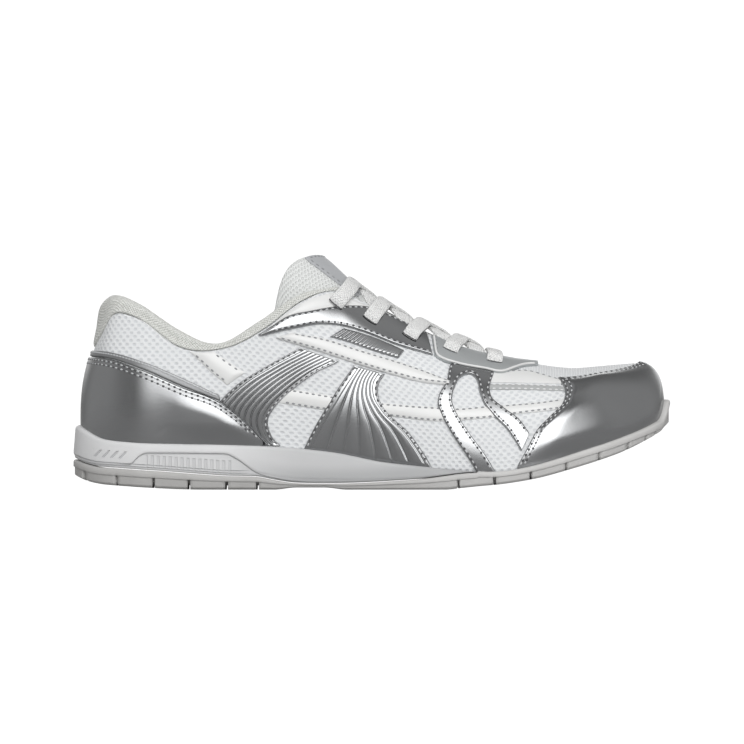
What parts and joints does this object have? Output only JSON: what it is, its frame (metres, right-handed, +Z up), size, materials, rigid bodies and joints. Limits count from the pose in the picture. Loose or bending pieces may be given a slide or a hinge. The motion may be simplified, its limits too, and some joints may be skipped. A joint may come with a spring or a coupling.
{
  "type": "slip-on sneaker",
  "caption": "Right-foot retro running sneaker with a hollow mesh upper, silver overlays, padded cuff and tongue, elastic lacing and a wedge sole with toe spring",
  "frame": {"origin": "centre of the bounding box in plan, on the floor that the sole stands on", "axes": "+X from heel to toe, +Y to the inner side of the right foot, +Z up"},
  "size_m": [0.262, 0.0928, 0.1029],
  "materials": {
    "band": "smooth white coated synthetic leather",
    "cord": "flat woven elastic",
    "foam": "moulded foam",
    "foil": "silver foil synthetic leather",
    "knit": "knitted lining over foam",
    "mesh": "spacer mesh",
    "rubber": "matte moulded rubber",
    "satin": "satin grey coated synthetic leather",
    "sock": "brushed cloth over foam"
  },
  "bodies": {
    "root": {"band_instep_inner": "band", "band_instep_outer": "band", "collar_cuff": "knit", "counter_trim": "foil", "eyestay_front_inner": "satin", "eyestay_front_outer": "satin", "eyestay_rear_inner": "foil", "eyestay_rear_outer": "foil", "heel_counter": "foil", "insole": "sock", "lace_bar": "cord", "lace_crossing_1": "cord", "lace_crossing_2": "cord", "lace_crossing_3": "cord", "lace_crossing_4": "cord", "midsole": "foam", "outsole": "rubber", "strap_front_leg_inner": "foil", "strap_front_leg_outer": "foil", "strap_rear_leg_inner": "foil", "strap_rear_leg_outer": "foil", "stripe_middle_inner": "foil", "stripe_middle_outer": "foil", "stripe_rear_inner": "foil", "stripe_rear_outer": "foil", "stripe_short_inner": "foil", "stripe_short_outer": "foil", "toe_cap": "foil", "tongue": "mesh", "upper": "mesh"}
  },
  "joints": []
}
